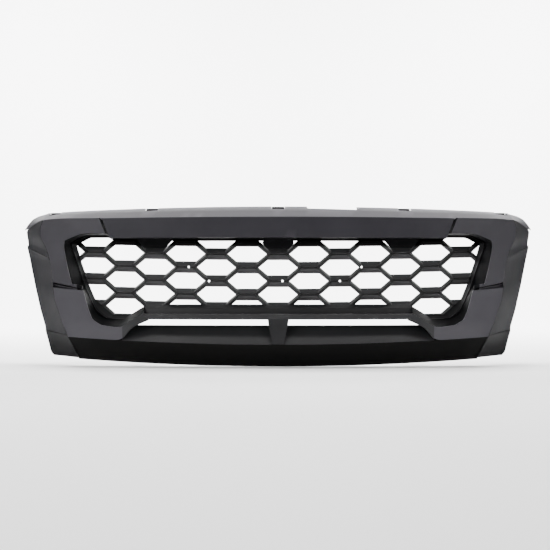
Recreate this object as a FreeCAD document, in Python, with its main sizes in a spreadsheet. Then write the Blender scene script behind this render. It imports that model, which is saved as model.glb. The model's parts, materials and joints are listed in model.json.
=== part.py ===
"""Front grille of a pickup: bowed upper bar, sculpted corner panels and a honeycomb insert.

Every size is in millimetres. X runs across the vehicle, Y runs from the front to the back and
Z runs up. The origin is the centre of the middle clip hole, on top of its seat. Each sub-part is
drawn with Y counted from the front of the bar and is then set back by clip_setback.
"""
import FreeCAD
import Part

import math
import os
import re

import Sketcher

Vector = FreeCAD.Vector

# ---------------------------------------------------------------- driving dimensions

DIMENSIONS = {
    # the whole front: plan bow, extra wrap at the corners, lean of the face, wall thickness;
    # the corner panels stand proud of the bar, and their upright limbs lean further out
    "bow_radius": 2800.0,
    "wrap_start": 440.0,
    "wrap_rate": 0.0015,
    "lean_rate": 0.028,
    "clip_setback": 60.0,
    "wall": 3.0,
    "skin": 4.0,
    "proud": 5.0,
    "limb_top_z": -90.0,
    "limb_lean": 0.085,
    "seam": 0.4,
    # how much a line rises per square millimetre of X
    "crown_top": -0.00004,
    "crown_brow": -0.000012,
    "crown_foot": 0.00007,
    # top flange with its five clip seats and the relief in its rear edge
    "flange_half": 534.0,
    "flange_front_y": 1.0,
    "flange_rear_y": 50.0,
    "brow_z": -21.0,
    "crest_z": 5.0,
    "lip_depth": 10.0,
    "clip_hole_radius": 4.0,
    "clip_inner_x": 287.0,
    "clip_outer_x": 514.0,
    "clip_width": 30.0,
    "seat_front_y": 42.0,
    "seat_rear_y": 73.0,
    "relief_start": 65.0,
    "relief_end": 178.0,
    "relief_front_y": 40.0,
    "relief_corner_radius": 5.0,
    # upper bar
    "bar_half_top": 398.0,
    "bar_half_bottom": 371.0,
    "bar_bottom_z": -67.0,
    "bar_depth": 44.0,
    # honeycomb insert
    "insert_front_y": 45.0,
    "insert_depth": 12.0,
    "insert_top_z": -50.0,
    "window_top_z": -73.0,
    "reveal_wall": 2.5,
    "cell_pitch_x": 139.6,
    "cell_pitch_z": 60.9,
    "cell_width": 88.0,
    "cell_flat": 47.5,
    "cell_height": 34.0,
    "row_top_z": -72.6,
    "row_rise": 0.000032,
    "smallest_cell_area": 60.0,
    "insert_sweep": 22.0,
    "tab_half_top": 38.0,
    "badge_hole_radius": 2.5,
    # lower bar, centre post, lower panel and skirt
    "lower_bar_half": 300.0,
    "ledge_rear_z": -216.5,
    "ledge_front_z": -225.0,
    "strip_top_z": -236.8,
    "strip_bottom_z": -248.8,
    "strip_y": 4.0,
    "panel_half": 344.0,
    "panel_top_z": -263.0,
    "panel_top_y": 28.0,
    "panel_foot_z": -303.8,
    "panel_foot_y": -6.0,
    "post_half_top": 23.4,
    "post_half_bottom": 12.5,
    "skirt_half_top": 469.0,
    "skirt_top_z": -290.0,
    "skirt_half_low": 453.0,
    "skirt_low_z": -335.0,
    "skirt_foot_z": -355.4,
    "skirt_foot_y": 35.0,
    # carriers, brackets and fasteners behind the visible panels
    "carrier_half": 360.0,
    "tab_inner_x": 150.0,
    "tab_outer_x": 318.0,
    "tab_hole_y": 64.0,
    "tab_hole_radius": 3.3,
    "screw_radius": 2.2,
    "screw_hole_radius": 2.4,
    "screw_head_radius": 5.0,
    "bracket_y": 148.0,
    "bracket_hole_x": 512.0,
    "bracket_boss_x": 548.0,
    "bracket_low_z": -215.0,
    "bracket_high_z": -155.0,
    "bracket_hole_radius": 3.3,
    "bolt_radius": 3.0,
    "bracket_corner_radius": 6.0,
    "boss_radius": 6.0,
}

document = FreeCAD.newDocument("front_grille")
sheet = document.addObject("Spreadsheet::Sheet", "Dimensions")
for row, (alias, number) in enumerate(DIMENSIONS.items(), start=1):
    sheet.set(f"A{row}", alias)
    sheet.set(f"B{row}", str(number))
    sheet.setAlias(f"B{row}", alias)
document.recompute()

NODES = []


# ---------------------------------------------------------------- document helpers

def size(alias):
    """Reads one driving dimension from the sheet."""
    return float(sheet.get(alias))


def named(text):
    """Turns sheet aliases in a formula into references to the sheet, and leaves functions alone."""
    return re.sub(r"\b[a-z_]{3,}\b(?!\()", lambda word: "Dimensions." + word.group(), str(text))


def bind(feature, path, formula):
    feature.setExpression(path, named(formula))


def is_number(value):
    return isinstance(value, (int, float))


def keep(feature, label):
    """Registers a finished sub-part under its own label and sets it back from the front line."""
    feature.Label = label
    bind(feature, "Placement.Base.y", "-clip_setback")
    NODES.append(feature)
    return feature


def origin_plane(body, role):
    return next(item for item in body.Origin.OriginFeatures if item.Role == role)


def attached_sketch(body, role, name):
    sketch = body.newObject("Sketcher::SketchObject", name)
    sketch.AttachmentSupport = [(origin_plane(body, role), "")]
    sketch.MapMode = "FlatFace"
    return sketch


def draw_polygon(sketch, points):
    """Draws a closed polygon; formula corners are held at them, plain numbers lie as given."""
    first = sketch.GeometryCount
    count = len(points)
    around = [2 * math.pi * index / count for index in range(count)]
    ring = [Vector(*[float(value) if is_number(value) else guess for value, guess in
                     zip(point, (math.cos(angle), math.sin(angle)))], 0)
            for point, angle in zip(points, around)]
    sides = [Part.LineSegment(here, after) for here, after in zip(ring, ring[1:] + ring[:1])]
    sketch.addGeometry(sides, False)
    if all(is_number(value) for point in points for value in point):
        return
    rules = [Sketcher.Constraint("Coincident", first + index, 2, first + (index + 1) % count, 1)
             for index in range(count)]
    kinds = [(index, kind, value) for index, point in enumerate(points)
             for kind, value in zip(("DistanceX", "DistanceY"), point)]
    rules += [Sketcher.Constraint(kind, -1, 1, first + index, 1, 1.0) for index, kind, value in kinds]
    numbers = sketch.addConstraint(rules)[count:]
    for rule, (index, kind, value) in zip(numbers, kinds):
        bind(sketch, f"Constraints[{rule}]", value)


def draw_circle(sketch, centre, radius):
    """Draws a circle of a formula radius; its centre is held where it is a formula."""
    start = Vector(*[float(value) if is_number(value) else 1.0 for value in centre], 0)
    circle = sketch.addGeometry(Part.Circle(start, Vector(0, 0, 1), size(radius)), False)
    for kind, coordinate in zip(("DistanceX", "DistanceY"), centre):
        if not is_number(coordinate):
            rule = sketch.addConstraint(Sketcher.Constraint(kind, -1, 1, circle, 3, 1.0))
            bind(sketch, f"Constraints[{rule}]", coordinate)
    rule = sketch.addConstraint(Sketcher.Constraint("Radius", circle, size(radius)))
    bind(sketch, f"Constraints[{rule}]", radius)


def setback(x):
    """Formula for how far the bow and the corner wrap set a point back at x."""
    return f"({x})^2 / (2 * bow_radius) + wrap_rate * max(abs({x}) - wrap_start; 0)^2"


def bowed_body(name, half_span, profile, steps=6):
    """Lofts a profile of (y, z, crown) corners along the plan bow, from left end to right end."""
    body = document.addObject("PartDesign::Body", name)
    sections = []
    for step in range(-steps, steps + 1):
        station = f"({step} / {steps} * ({half_span}))"
        section = attached_sketch(body, "YZ_Plane", f"{name}_section_{step + steps}")
        bind(section, ".AttachmentOffset.Base.z", station)
        corners = [(f"{y} + {setback(station)}", f"{z} + {crown} * {station}^2")
                   for y, z, crown in profile]
        draw_polygon(section, corners)
        sections.append(section)
    document.recompute()
    loft = body.newObject("PartDesign::AdditiveLoft", f"{name}_loft")
    loft.Profile = sections[0]
    loft.Sections = [(section, [""]) for section in sections[1:]]
    loft.Ruled = True
    return body


def prism(name, points, start_y, depth):
    """A straight block along Y with a polygon of (x, z) corners, used to trim sub-parts."""
    sketch = document.addObject("Sketcher::SketchObject", f"{name}_outline")
    sketch.Placement = FreeCAD.Placement(Vector(0, start_y, 0), FreeCAD.Rotation(Vector(1, 0, 0), 90))
    draw_polygon(sketch, points)
    block = document.addObject("Part::Extrusion", name)
    block.Base = sketch
    block.DirMode = "Custom"
    block.Dir = Vector(0, 1, 0)
    block.LengthFwd = depth
    block.Solid = True
    return block


def box(name, corner, lengths):
    solid = document.addObject("Part::Box", name)
    for axis, formula in zip("xyz", corner):
        bind(solid, f"Placement.Base.{axis}", formula)
    for side, formula in zip(("Length", "Width", "Height"), lengths):
        bind(solid, side, formula)
    return solid


def cylinder(name, base, radius, length, along="z"):
    """A cylinder that starts at its base and runs along +Z or +Y."""
    solid = document.addObject("Part::Cylinder", name)
    if along == "y":
        solid.Placement.Rotation = FreeCAD.Rotation(Vector(1, 0, 0), -90)
    for axis, formula in zip("xyz", base):
        bind(solid, f"Placement.Base.{axis}", formula)
    bind(solid, "Radius", radius)
    bind(solid, "Height", length)
    return solid


def joined(name, shapes):
    fuse = document.addObject("Part::MultiFuse", name)
    fuse.Shapes = shapes
    return fuse


def difference(name, base, tool):
    cut = document.addObject("Part::Cut", name)
    cut.Base = base
    cut.Tool = tool
    return cut


def overlap(name, base, tool):
    common = document.addObject("Part::Common", name)
    common.Base = base
    common.Tool = tool
    return common


# ---------------------------------------------------------------- sculpted panels

def bow(x):
    """Set-back of the plan bow at a distance x from the centreline."""
    return x * x / (2 * size("bow_radius"))


def face(x, z, proud=0.0):
    """A point on the leaning, bowed and wrapped front, raised towards the viewer by proud."""
    wrap = size("wrap_rate") * max(0.0, abs(x) - size("wrap_start")) ** 2
    lean = size("lean_rate") * (z - size("bar_bottom_z"))
    return Vector(x, bow(x) + wrap + lean - proud, z)


def triangle(first, second, third):
    return Part.Face(Part.makePolygon([first, second, third, first]))


def swept_solid(sections):
    """A closed solid through matching polygon sections, with flat facets between them."""
    count = len(sections[0])
    faces = []
    for near, far in zip(sections, sections[1:]):
        for index in range(count):
            after = (index + 1) % count
            faces.append(triangle(near[index], near[after], far[after]))
            faces.append(triangle(near[index], far[after], far[index]))
    for end in (sections[0], sections[-1]):
        for index in range(1, count - 1):
            faces.append(triangle(end[0], end[index], end[index + 1]))
    solid = Part.Solid(Part.Shell(faces))
    solid.fix(0.001, 0.001, 0.001)
    if solid.Volume < 0:
        solid.reverse()
    return solid.removeSplitter()


def feature(name, shape):
    solid = document.addObject("Part::Feature", name)
    solid.Shape = shape
    return solid


def mirrored(sections):
    return [[Vector(-point.x, point.y, point.z) for point in section] for section in sections]


def panel_sections(inner, outer, backing=None):
    """Four-cornered sections between two rails of front points, skin thick along Y."""
    back = Vector(0, backing or size("skin"), 0)
    return [[near, far, far + back, near + back] for near, far in zip(inner, outer)]


def pair(name, sections, extras=None):
    """Makes the right-hand solid and its left-hand mirror image."""
    for side, shape in (("right", sections), ("left", mirrored(sections))):
        solid = feature(f"{name}_{side}_shell" if extras else f"{name}_{side}", swept_solid(shape))
        if extras:
            solid = joined(f"{name}_{side}", [solid] + extras(1 if side == "right" else -1, side))
        keep(solid, f"{name}_{side}")


# ---------------------------------------------------------------- top flange and upper bar

def clip_places():
    """Each clip seat's name and its X formula."""
    return [("centre", "0"), ("inner_left", "-clip_inner_x"), ("inner_right", "clip_inner_x"),
            ("outer_left", "-clip_outer_x"), ("outer_right", "clip_outer_x")]


def top_flange():
    plate = bowed_body("flange_plate", "flange_half", [
        ("flange_front_y", "brow_z", "crown_brow"),
        ("flange_rear_y", "crest_z", "crown_top"),
        ("flange_rear_y + lip_depth", "crest_z", "crown_top"),
        ("flange_rear_y + lip_depth", "crest_z - wall", "crown_top"),
        ("flange_rear_y + 1", "crest_z - wall", "crown_top"),
        ("flange_front_y + 2", "brow_z - wall", "crown_brow"),
    ])
    recesses = []
    seats = []
    holes = []
    for name, x in clip_places():
        start = f"seat_front_y + {setback(x)}"
        level = f"crown_top * ({x})^2"
        recesses.append(box(f"recess_{name}", (f"{x} - clip_width / 2", start, f"{level} - wall"),
                            ("clip_width", "seat_rear_y - seat_front_y", "20")))
        seats.append(box(f"seat_{name}", (f"{x} - clip_width / 2 - 1", f"{start} - 1", f"{level} - wall"),
                         ("clip_width + 2", "seat_rear_y - seat_front_y", "wall")))
        holes.append(cylinder(f"clip_hole_{name}", (x, f"clip_setback + {setback(x)}", f"{level} - 10"),
                              "clip_hole_radius", "20"))
    relief = box("rear_relief", ("relief_start", "relief_front_y", "-20"),
                 ("relief_end - relief_start", "60", "40"))
    document.recompute()
    corners = [number + 1 for number, edge in enumerate(relief.Shape.Edges)
               if abs(edge.tangentAt(edge.FirstParameter).z) > 0.9 and edge.CenterOfMass.y < 60]
    rounded = document.addObject("Part::Fillet", "rounded_relief")
    rounded.Base = relief
    radius = size("relief_corner_radius")
    rounded.Edges = [(corner, radius, radius) for corner in corners]
    opened = difference("flange_opened", plate, joined("flange_recesses", recesses + [rounded]))
    seated = joined("flange_seated", [opened] + seats)
    keep(difference("top_flange", seated, joined("clip_holes", holes)), "top_flange")


def clip_pads():
    """Rubber pads that stand behind the five clip seats."""
    pads = [box(f"pad_{name}",
                (f"{x} - clip_width / 2 + 1", f"seat_rear_y - 5 + {setback(x)}",
                 f"crown_top * ({x})^2 + 0.2"),
                ("clip_width - 2", "3", "crest_z - 0.5"))
            for name, x in clip_places()]
    group = document.addObject("Part::Compound", "clip_pads")
    group.Links = pads
    keep(group, "clip_pads")


def upper_bar():
    channel = bowed_body("bar_channel", "bar_half_top + 8", [
        ("flange_front_y - 1", "brow_z - seam", "crown_brow"),
        ("flange_front_y + 1.5", "brow_z - wall - 2 * seam", "crown_brow"),
        ("flange_front_y + 15", "brow_z - wall - 2 * seam", "crown_brow"),
        ("flange_front_y + 15", "brow_z - 2 * wall - 2 * seam", "crown_brow"),
        ("wall", "brow_z - 2 * wall - 2 * seam", "crown_brow"),
        ("wall", "bar_bottom_z + wall", "0"),
        ("bar_depth", "bar_bottom_z + wall", "0"),
        ("bar_depth", "bar_bottom_z", "0"),
        ("0", "bar_bottom_z", "0"),
    ])
    ends = prism("bar_ends", [
        ("-bar_half_top - 6", "brow_z + 10"),
        ("bar_half_top + 6", "brow_z + 10"),
        ("bar_half_bottom - 6", "bar_bottom_z - 10"),
        ("-bar_half_bottom + 6", "bar_bottom_z - 10"),
    ], -50, 300)
    keep(overlap("upper_bar", channel, ends), "upper_bar")


def upper_carrier():
    """Stiffening angle behind the bar, which the insert is screwed to."""
    keep(bowed_body("upper_carrier", "carrier_half", [
        ("20", "brow_z - 9", "0"),
        ("bar_depth + 0.6", "brow_z - 9", "0"),
        ("bar_depth + 0.6", "bar_bottom_z + wall + 0.6", "0"),
        ("bar_depth - 2.4", "bar_bottom_z + wall + 0.6", "0"),
        ("bar_depth - 2.4", "brow_z - 9 - wall", "0"),
        ("20", "brow_z - 9 - wall", "0"),
    ]), "upper_carrier")


def upper_seal():
    """Foam strip that lies on the carrier, under the flange."""
    keep(bowed_body("upper_seal", "carrier_half - 5", [
        ("24", "brow_z - 8.8", "0"),
        ("24", "brow_z + 2", "crown_top"),
        ("36", "brow_z + 2", "crown_top"),
        ("36", "brow_z - 8.8", "0"),
    ]), "upper_seal")


# ---------------------------------------------------------------- honeycomb insert

def both_halves(right):
    """A whole outline of (x, z) corners from its right half, clockwise."""
    return right + [(-x, z) for x, z in reversed(right)]


def window_outline():
    """Edge of the insert's open lattice."""
    return both_halves([(374, size("window_top_z")), (386, -65), (431, -65), (463, -81), (462, -86),
                        (453, -117), (434, -172), (420, -205), (400, -221), (376, -241), (322, -241),
                        (299, size("ledge_rear_z"))])


def rim_outline():
    """Outer edge of the insert's rim."""
    return both_halves([(372, size("insert_top_z")), (380, -50), (446, -50), (487, -69), (486, -90),
                        (472, -122), (452, -180), (436, -215), (424, -236), (408, -251), (388, -259),
                        (344, -259), (296, -231)])


def clipped(polygon, start, end):
    """The part of a polygon to the right of the line from start to end."""
    def side(point):
        return (end[0] - start[0]) * (point[1] - start[1]) - (end[1] - start[1]) * (point[0] - start[0])

    kept = []
    for here, after in zip(polygon, polygon[1:] + polygon[:1]):
        if side(here) <= 0:
            kept.append(here)
        if (side(here) < 0 < side(after)) or (side(after) < 0 < side(here)):
            share = side(here) / (side(here) - side(after))
            kept.append((here[0] + share * (after[0] - here[0]), here[1] + share * (after[1] - here[1])))
    return kept


def area(polygon):
    return abs(sum(a[0] * b[1] - b[0] * a[1] for a, b in zip(polygon, polygon[1:] + polygon[:1]))) / 2


def hexagon(x, z):
    """A flat-topped cell about (x, z), clockwise."""
    half = size("cell_width") / 2
    flat = size("cell_flat") / 2
    rise = size("cell_height") / 2
    return [(x - half, z), (x - flat, z + rise), (x + flat, z + rise),
            (x + half, z), (x + flat, z - rise), (x - flat, z - rise)]


def cell_centres():
    """Centres of both sets of columns, the second half a pitch across and down; rows rise outwards."""
    pitch_x = size("cell_pitch_x")
    pitch_z = size("cell_pitch_z")
    for row in range(4):
        level = size("row_top_z") - row * pitch_z
        for column in range(-3, 4):
            x = column * pitch_x
            yield x, level + size("row_rise") * x * x
        for column in range(-4, 4):
            x = (column + 0.5) * pitch_x
            yield x, level - pitch_z / 2 + size("row_rise") * x * x


BADGE_HOLES = [(-202.5, -131.7), (-156.3, -163.6), (10.0, -163.6), (139.9, -163.6), (189.1, -131.7)]


def check_cut(feature, before, after):
    """Stops the build if a pocket removed nothing."""
    if not after < before:
        raise RuntimeError(f"{feature.Label} cut nothing")


def honeycomb_insert():
    body = document.addObject("PartDesign::Body", "honeycomb_insert")
    section = attached_sketch(body, "YZ_Plane", "insert_section")
    near = "insert_front_y - bow_radius"
    draw_polygon(section, [(near, "ledge_rear_z - 50"), (f"{near} + insert_depth", "ledge_rear_z - 50"),
                           (f"{near} + insert_depth", "insert_top_z + 5"), (near, "insert_top_z + 5")])
    document.recompute()
    plate = body.newObject("PartDesign::Revolution", "insert_plate")
    plate.Profile = section
    plate.ReferenceAxis = (section, ["V_Axis"])
    plate.Midplane = True
    plate.Angle = size("insert_sweep")
    document.recompute()
    full = body.Shape.Volume

    edge = attached_sketch(body, "XZ_Plane", "insert_edge")
    draw_polygon(edge, rim_outline())
    draw_polygon(edge, [(-700, -500), (700, -500), (700, 200), (-700, 200)])
    trim = body.newObject("PartDesign::Pocket", "insert_trim")
    trim.Profile = edge
    trim.Type = "ThroughAll"
    trim.Midplane = True
    document.recompute()
    trimmed = body.Shape.Volume
    check_cut(trim, full, trimmed)

    lattice = attached_sketch(body, "XZ_Plane", "insert_cells")
    for x, z in cell_centres():
        cell = window_outline()
        corners = hexagon(x, z)
        for start, end in zip(corners, corners[1:] + corners[:1]):
            cell = clipped(cell, start, end) if cell else cell
        if cell and area(cell) > size("smallest_cell_area"):
            draw_polygon(lattice, cell)
    for centre in BADGE_HOLES:
        draw_circle(lattice, centre, "badge_hole_radius")
    for x in insert_screw_places():
        for level in (size("window_top_z") + 12, size("ledge_rear_z") - 10):
            draw_circle(lattice, (x, level), "screw_hole_radius")
    cells = body.newObject("PartDesign::Pocket", "insert_openings")
    cells.Profile = lattice
    cells.Type = "ThroughAll"
    cells.Midplane = True
    bind(body, "Placement.Base.y", "bow_radius - clip_setback")
    document.recompute()
    check_cut(cells, trimmed, body.Shape.Volume)
    body.Label = "honeycomb_insert"
    NODES.append(body)


def insert_screw_places():
    """X of the screws along the upper and the lower rim."""
    return [-270, -162, -54, 54, 162, 270]


def mesh_tabs():
    """Three dark tabs that close the cut-off cells under the bar."""
    tabs = []
    for number in (-2, 0, 2):
        turn = math.asin(number * size("cell_pitch_x") / size("bow_radius"))
        sketch = document.addObject("Sketcher::SketchObject", f"tab_outline_{number + 2}")
        upright = FreeCAD.Rotation(Vector(0, 0, 1), math.degrees(turn)).multiply(
            FreeCAD.Rotation(Vector(1, 0, 0), 90))
        sketch.Placement = FreeCAD.Placement(Vector(0, 0, 0), upright)
        middle = f"{number} * cell_pitch_x"
        draw_polygon(sketch, [("-tab_half_top", "bar_bottom_z - seam"),
                              ("tab_half_top", "bar_bottom_z - seam"),
                              ("cell_flat / 2", "row_top_z - cell_height / 2"),
                              ("-cell_flat / 2", "row_top_z - cell_height / 2")])
        bind(sketch, "Placement.Base.x", middle)
        bind(sketch, "Placement.Base.y", f"insert_front_y - 4 + {setback(middle)}")
        tab = document.addObject("Part::Extrusion", f"tab_{number + 2}")
        tab.Base = sketch
        tab.DirMode = "Custom"
        tab.Dir = Vector(-math.sin(turn), math.cos(turn), 0)
        bind(tab, "LengthFwd", "wall")
        tab.Solid = True
        tabs.append(tab)
    group = document.addObject("Part::Compound", "mesh_tabs")
    group.Links = tabs
    keep(group, "mesh_tabs")


def insert_screws():
    """Pan-head screws driven from behind through both rims."""
    screws = []
    for number, x in enumerate(insert_screw_places()):
        rear = f"insert_front_y + insert_depth + 0.8 + {setback(x)}"
        for row, level in (("top", "window_top_z + 12"), ("foot", "ledge_rear_z - 10")):
            name = f"{row}_{number}"
            head = cylinder(f"head_{name}", (x, rear, level), "screw_head_radius", "3", along="y")
            shank = cylinder(f"shank_{name}", (x, f"{rear} - insert_depth - 4", level),
                             "screw_radius", "insert_depth + 5", along="y")
            screws.append(joined(f"screw_{name}", [head, shank]))
    group = document.addObject("Part::Compound", "insert_screws")
    group.Links = screws
    keep(group, "insert_screws")


# ---------------------------------------------------------------- lower bar, panel and skirt

def lower_bar():
    keep(bowed_body("lower_bar", "lower_bar_half", [
        ("bar_depth + 0.6", "ledge_rear_z", "0"),
        ("34", "ledge_front_z", "0"),
        ("31", "strip_top_z", "0"),
        ("strip_y", "strip_top_z", "0"),
        ("strip_y", "strip_bottom_z", "0"),
        ("bar_depth", "strip_bottom_z - 2", "0"),
        ("bar_depth", "strip_bottom_z + 1", "0"),
        ("strip_y + wall", "strip_bottom_z + wall", "0"),
        ("strip_y + wall", "strip_top_z - wall", "0"),
        ("34", "strip_top_z - wall", "0"),
        ("37", "ledge_front_z - 2", "0"),
        ("bar_depth - 2.4", "ledge_rear_z - 4.5", "0"),
        ("bar_depth - 2.4", "strip_top_z + 1", "0"),
        ("bar_depth + 0.6", "strip_top_z + 1", "0"),
    ]), "lower_bar")


def lower_panel():
    keep(bowed_body("lower_panel", "panel_half", [
        ("bar_depth", "panel_top_z", "0"),
        ("panel_top_y", "panel_top_z", "0"),
        ("panel_foot_y", "panel_foot_z", "crown_foot"),
        ("panel_foot_y + 4.5", "panel_foot_z", "crown_foot"),
        ("panel_top_y + 1.5", "panel_top_z - wall", "0"),
        ("bar_depth", "panel_top_z - wall", "0"),
    ]), "lower_panel")


def centre_post():
    """Tapered post that bridges the slot and runs down the lower panel."""
    levels = [(-251.0, 3.6, 27.1), (-263.0, 1.0, 27.3), (-302.5, -9.0, -6.4)]
    top = size("post_half_top")
    bottom = size("post_half_bottom")
    sections = []
    for z, front, back in levels:
        half = top + (bottom - top) * (z - levels[0][0]) / (levels[-1][0] - levels[0][0])
        sections.append([Vector(-half, front, z), Vector(half, front, z),
                         Vector(half, back, z), Vector(-half, back, z)])
    keep(feature("centre_post", swept_solid(sections)), "centre_post")


def lower_skirt():
    plate = bowed_body("skirt_plate", "skirt_half_top", [
        ("panel_foot_y", "panel_foot_z - seam", "crown_foot"),
        ("skirt_foot_y", "skirt_foot_z", "crown_foot"),
        ("skirt_foot_y + 11", "skirt_foot_z", "crown_foot"),
        ("skirt_foot_y + 11", "skirt_foot_z + wall", "crown_foot"),
        ("skirt_foot_y + 2", "skirt_foot_z + wall", "crown_foot"),
        ("panel_foot_y + 4.5", "panel_foot_z - seam", "crown_foot"),
    ])
    above = ("2 * skirt_half_top - skirt_half_low", "2 * skirt_top_z - skirt_low_z")
    below = ("2 * skirt_half_low - skirt_half_top", "2 * skirt_low_z - skirt_top_z")
    corners = [(f"-({above[0]})", above[1]), above, below, (f"-({below[0]})", below[1])]
    ends = prism("skirt_ends", corners, -50, 300)
    keep(overlap("lower_skirt", plate, ends), "lower_skirt")


def lower_carrier():
    """Stiffening angle behind the lower panel, with four bolted tabs."""
    angle = bowed_body("carrier_angle", "carrier_half - 30", [
        ("10", "panel_foot_z + 12", "0"),
        ("52", "panel_foot_z + 12", "0"),
        ("52", "skirt_foot_z + 20", "0"),
        ("49", "skirt_foot_z + 20", "0"),
        ("49", "panel_foot_z + 9", "0"),
        ("10", "panel_foot_z + 9", "0"),
    ])
    tabs = []
    holes = []
    for name, x in (("inner_left", "-tab_inner_x"), ("inner_right", "tab_inner_x"),
                    ("outer_left", "-tab_outer_x"), ("outer_right", "tab_outer_x")):
        tabs.append(box(f"carrier_tab_{name}", (f"{x} - 14", f"50 + {setback(x)}", "panel_foot_z - 25"),
                        ("28", "24", "wall")))
        holes.append(cylinder(f"tab_hole_{name}", (x, f"tab_hole_y + {setback(x)}", "panel_foot_z - 35"),
                              "tab_hole_radius", "20"))
    keep(difference("lower_carrier", joined("carrier_tabbed", [angle] + tabs), joined("tab_holes", holes)),
         "lower_carrier")


# ---------------------------------------------------------------- corners, cheeks and wings

def on_corner(x, z):
    """A point on a corner panel's front, which leans further out down its upright limb."""
    return face(x, z, size("proud") + size("limb_lean") * max(0.0, size("limb_top_z") - z))


def on_cheek(x, z):
    return face(x, z, size("proud"))


def sunk_end():
    """How proud of the bare front the strip of the lower bar stands; it is negative."""
    return size("lean_rate") * (size("strip_top_z") - size("bar_bottom_z")) - size("strip_y")


def corner_bezels():
    inner = [(380, -56.5), (439, -57.2), (468, -68), (481, -74), (481.5, -86), (480, -98),
             (470.5, -138), (461.5, -172)]
    outer = [(399, -22), (492, -22.3), (533, -24.5), (541, -45), (538, -69), (523, -93),
             (514, -120.5), (504, -164)]
    pair("corner_bezel", panel_sections([on_corner(x, z) for x, z in inner],
                                        [on_corner(x, z) for x, z in outer]))


def groove_beads():
    """Sunk strip that closes the groove between a corner panel and its cheek."""
    inner = [face(438, -188, -3), face(506, -179.5, -3)]
    outer = [face(449, -177.9, -3), face(511, -163, -3)]
    pair("groove_bead", panel_sections(inner, outer))


def cheek_bezels():
    """Lower corner panel; its end sinks to the front of the lower bar."""
    proud = size("proud")
    sunk = sunk_end()
    inner = [(435, -184.5, proud), (429.5, -206, proud), (421.5, -232, proud), (413.5, -250, proud),
             (395, -261, proud), (366, -265.6, proud), (350, -265.5, proud), (326, -250, 0),
             (303, -236.2, sunk)]
    outer = [(509, -180.5, proud), (503, -206, proud), (493, -232, proud), (485, -255, proud),
             (471, -288, 2), (416, -291.6, 0), (349, -295, 0), (328, -272, 0), (301.5, -255, sunk)]
    pair("cheek_bezel", panel_sections([face(*point) for point in inner],
                                       [face(*point) for point in outer]))


def corner_caps():
    inner = [Vector(534.4, 65.5, -24.2), Vector(548, 84, -26.6), Vector(562, 103, -31),
             Vector(575, 121, -35.8), Vector(586, 138, -39.8)]
    outer = [Vector(534.4, 124, -6.4), Vector(560, 131, -12.5), Vector(576, 137, -20),
             Vector(588, 143, -32), Vector(597, 150, -43)]
    down = Vector(0, 0, size("wall"))
    sections = [[near, far, far - down, near - down + Vector(0, 1, 0)] for near, far in zip(inner, outer)]
    pair("corner_cap", sections)


def wing_uppers():
    inner = [(534.8, -28), (541.3, -45), (538.3, -69), (523.3, -93), (518, -111)]
    outer = [Vector(585.5, 142, -43.6), Vector(593, 149, -48), Vector(590.5, 148, -63),
             Vector(588, 147, -76.5), Vector(588.5, 148, -84)]
    pair("wing_upper", panel_sections([on_corner(x, z) for x, z in inner], outer))


def wing_sides():
    beside_limb = [(518, -111.4), (514.3, -120.5), (504.3, -164)]
    beside_cheek = [(509.3, -180.5), (503.3, -206), (493.3, -232), (485.3, -255), (472.8, -283.5)]
    inner = [on_corner(x, z) for x, z in beside_limb] + [on_cheek(x, z) for x, z in beside_cheek]
    outer = [Vector(592, 150, -84.6), Vector(586, 149, -108), Vector(573.5, 138, -158),
             Vector(569.5, 136.5, -176), Vector(563, 134, -202), Vector(556, 131, -230),
             Vector(549, 128, -252), Vector(541, 124, -276.5)]

    def bosses(side, name):
        return [cylinder(f"boss_{name}_{level}", (f"{side} * bracket_boss_x", start, level),
                         "boss_radius", f"bracket_y - {start}", along="y")
                for level, start in (("bracket_low_z", 125), ("bracket_high_z", 112))]

    pair("wing_side", panel_sections(inner, outer), extras=bosses)


def wing_lowers():
    inner = [on_cheek(472.8, -284.2), Vector(463.2, 46, -308), Vector(456.2, 59.5, -328),
             Vector(452.6, 66.5, -338)]
    outer = [Vector(543, 124, -278.5), Vector(534, 119, -306), Vector(528, 116, -328),
             Vector(520, 112, -335.5)]
    pair("wing_lower", panel_sections(inner, outer))


def opening_reveals():
    """Deep dark wall between each corner's opening edge and the insert's rim."""
    beside_corner = [(376, -58.5), (382, -57), (439, -57.7), (467, -68.5), (480, -74.5), (480.5, -86),
                     (479, -98), (469.5, -138), (460, -170)]
    beside_cheek = [(434, -184.5), (428.5, -206), (420.5, -232), (412.5, -250), (394.5, -260.5),
                    (366, -265), (350, -265)]
    front = [on_corner(x, z) for x, z in beside_corner] + [on_cheek(x, z) for x, z in beside_cheek]
    front += [face(326, -249.5, 0), face(302.7, -236.5, sunk_end())]
    rear = [(374, -73), (384, -59), (441, -59), (462, -69), (476, -76), (475, -86), (469, -101),
            (457, -135), (445, -170), (439, -186), (427, -210), (418, -227), (410, -238), (394, -247),
            (375, -249.5), (349, -249.5), (325, -233), (301, -219)]
    gap = Vector(0, size("skin") + 1.2, 0)
    sections = []
    for number, (edge, (x, z)) in enumerate(zip(front, rear)):
        before = front[max(number - 1, 0)]
        after = front[min(number + 1, len(front) - 1)]
        along = Vector(after.x - before.x, 0, after.z - before.z).normalize()
        away = Vector(-along.z, 0, along.x) * size("reveal_wall")
        seat = Vector(x, size("insert_front_y") - 0.5 + bow(x), z)
        sections.append([edge + gap, seat, seat + away, edge + gap + away])
    pair("opening_reveal", sections)


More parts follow.
